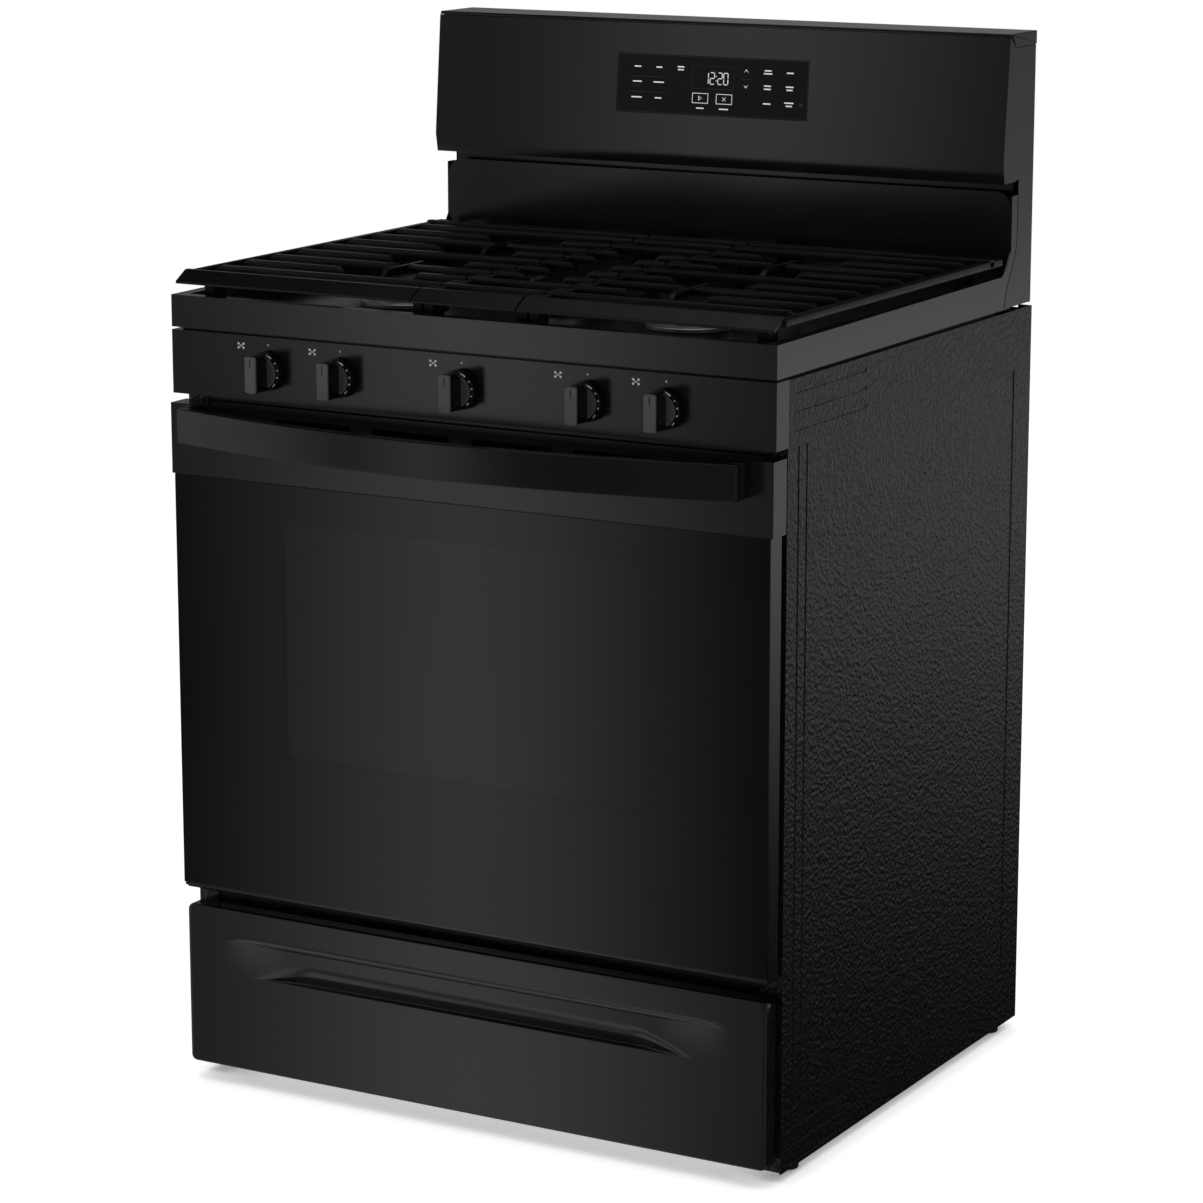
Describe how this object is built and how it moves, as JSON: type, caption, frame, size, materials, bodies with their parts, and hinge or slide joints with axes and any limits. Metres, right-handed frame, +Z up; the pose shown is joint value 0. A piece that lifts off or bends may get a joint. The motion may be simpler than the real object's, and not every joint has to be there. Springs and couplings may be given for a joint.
{
  "type": "freestanding gas range",
  "caption": "Black freestanding gas range with cast grates, push-to-turn knobs, a windowed drop-down oven door, sliding racks, a storage drawer and a rear control console.",
  "frame": {"origin": "on the floor, under the middle of the overall box", "axes": "+Z up, front faces -Y, +X to the right of a person facing the front"},
  "size_m": [0.756, 0.7329, 1.191],
  "materials": {
    "textured_steel": "pebble-textured satin paint on steel",
    "zinc_steel": "zinc-coated sheet and tube",
    "gloss_enamel": "glossy porcelain enamel",
    "oven_enamel": "speckled porcelain enamel",
    "black_fascia": "glossy coated steel",
    "door_glass": "black-printed tempered glass",
    "screen_glass": "black printed glass with white legends",
    "inner_glass": "clear tempered glass",
    "satin_handle": "satin coated bar",
    "satin_knob": "satin metallic coat",
    "plain_steel": "bare steel",
    "cast_iron": "matte enamelled casting",
    "cast_aluminium": "machined casting",
    "cap_enamel": "matte black enamel",
    "rack_chrome": "bright plated wire",
    "seal_fibre": "braided fibreglass",
    "insulation_fibre": "mineral wool",
    "foot_plastic": "moulded nylon",
    "lamp_glass": "frosted lamp cover"
  },
  "bodies": {
    "range_body": {"side_panel_left": "textured_steel", "side_panel_right": "textured_steel", "rear_panel": "zinc_steel", "base_frame": "zinc_steel", "leveling_feet": "foot_plastic", "front_frame": "gloss_enamel", "oven_liner": "oven_enamel", "oven_floor": "oven_enamel", "rack_guides": "rack_chrome", "insulation": "insulation_fibre", "door_seal": "seal_fibre", "bake_burner": "plain_steel", "broil_burner": "plain_steel", "oven_lamp": "lamp_glass", "fan_cover": "oven_enamel", "fan_motor": "plain_steel", "hinge_arms": "zinc_steel", "drawer_rails": "zinc_steel", "cooktop": "gloss_enamel", "burner_heads": "cast_aluminium", "burner_caps": "cap_enamel", "gas_manifold": "zinc_steel", "burner_tubes": "zinc_steel", "gas_regulator": "cast_aluminium", "knob_panel": "black_fascia", "console_fascia": "black_fascia", "console_cap": "black_fascia", "console_sides": "black_fascia", "console_rear_cover": "zinc_steel", "touch_panel": "screen_glass", "flue_duct": "zinc_steel", "cord_bushing": "foot_plastic", "rear_screws": "zinc_steel"},
    "fan_wheel": {"fan_blade": "plain_steel"},
    "door": {"door_top_band": "black_fascia", "door_glass": "door_glass", "door_frame": "black_fascia", "door_liner": "oven_enamel", "window_panes": "inner_glass", "door_handle": "satin_handle", "handle_posts": "satin_handle", "hinge_blocks": "zinc_steel"},
    "drawer": {"drawer_front": "black_fascia", "drawer_box": "zinc_steel", "drawer_runners": "zinc_steel"},
    "upper_rack": {"rack_upper": "rack_chrome"},
    "lower_rack": {"rack_lower": "rack_chrome"},
    "left_grate": {"grate_left": "cast_iron"},
    "middle_grate": {"grate_center": "cast_iron"},
    "right_grate": {"grate_right": "cast_iron"},
    "valve_1": {"stem_1": "plain_steel"},
    "dial_1": {"knob_1": "satin_knob"},
    "valve_2": {"stem_2": "plain_steel"},
    "dial_2": {"knob_2": "satin_knob"},
    "valve_3": {"stem_3": "plain_steel"},
    "dial_3": {"knob_3": "satin_knob"},
    "valve_4": {"stem_4": "plain_steel"},
    "dial_4": {"knob_4": "satin_knob"},
    "valve_5": {"stem_5": "plain_steel"},
    "dial_5": {"knob_5": "satin_knob"}
  },
  "joints": [
    {"name": "door_swing", "type": "hinge", "parent": "range_body", "child": "door", "pos_m": [0, -0.2735, 0.239], "axis": [1, 0, 0], "range_deg": [0, 90], "stiffness_Nm_per_rad": 15, "springref_deg": -17.19},
    {"name": "drawer_slide", "type": "slide", "parent": "range_body", "child": "drawer", "axis": [0, -1, 0], "range_m": [0, 0.35]},
    {"name": "upper_rack_slide", "type": "slide", "parent": "range_body", "child": "upper_rack", "axis": [0, -1, 0], "range_m": [0, 0.26]},
    {"name": "lower_rack_slide", "type": "slide", "parent": "range_body", "child": "lower_rack", "axis": [0, -1, 0], "range_m": [0, 0.26]},
    {"name": "fan_spin", "type": "hinge", "parent": "range_body", "child": "fan_wheel", "pos_m": [0, 0.2415, 0.56], "axis": [0, 1, 0], "continuous": true},
    {"name": "left_grate_lift", "type": "slide", "parent": "range_body", "child": "left_grate", "axis": [0, 0, 1], "range_m": [0, 0.08]},
    {"name": "middle_grate_lift", "type": "slide", "parent": "range_body", "child": "middle_grate", "axis": [0, 0, 1], "range_m": [0, 0.08]},
    {"name": "right_grate_lift", "type": "slide", "parent": "range_body", "child": "right_grate", "axis": [0, 0, 1], "range_m": [0, 0.08]},
    {"name": "knob_1_push", "type": "slide", "parent": "range_body", "child": "valve_1", "axis": [0, 1, 0], "range_m": [0, 0.004], "stiffness_N_per_m": 1500, "springref_m": -0.002},
    {"name": "knob_1_turn", "type": "hinge", "parent": "valve_1", "child": "dial_1", "pos_m": [-0.249, -0.2835, 0.838], "axis": [0, -1, 0], "range_deg": [0, 220]},
    {"name": "knob_2_push", "type": "slide", "parent": "range_body", "child": "valve_2", "axis": [0, 1, 0], "range_m": [0, 0.004], "stiffness_N_per_m": 1500, "springref_m": -0.002},
    {"name": "knob_2_turn", "type": "hinge", "parent": "valve_2", "child": "dial_2", "pos_m": [-0.155, -0.2835, 0.838], "axis": [0, -1, 0], "range_deg": [0, 220]},
    {"name": "knob_3_push", "type": "slide", "parent": "range_body", "child": "valve_3", "axis": [0, 1, 0], "range_m": [0, 0.004], "stiffness_N_per_m": 1500, "springref_m": -0.002},
    {"name": "knob_3_turn", "type": "hinge", "parent": "valve_3", "child": "dial_3", "pos_m": [0, -0.2835, 0.838], "axis": [0, -1, 0], "range_deg": [0, 220]},
    {"name": "knob_4_push", "type": "slide", "parent": "range_body", "child": "valve_4", "axis": [0, 1, 0], "range_m": [0, 0.004], "stiffness_N_per_m": 1500, "springref_m": -0.002},
    {"name": "knob_4_turn", "type": "hinge", "parent": "valve_4", "child": "dial_4", "pos_m": [0.155, -0.2835, 0.838], "axis": [0, -1, 0], "range_deg": [0, 220]},
    {"name": "knob_5_push", "type": "slide", "parent": "range_body", "child": "valve_5", "axis": [0, 1, 0], "range_m": [0, 0.004], "stiffness_N_per_m": 1500, "springref_m": -0.002},
    {"name": "knob_5_turn", "type": "hinge", "parent": "valve_5", "child": "dial_5", "pos_m": [0.249, -0.2835, 0.838], "axis": [0, -1, 0], "range_deg": [0, 220]}
  ],
  "couplings": [
    {"joint": "upper_rack_slide", "follows": "door_swing", "m_per_rad": 0.16},
    {"joint": "lower_rack_slide", "follows": "door_swing", "m_per_rad": 0.16}
  ]
}
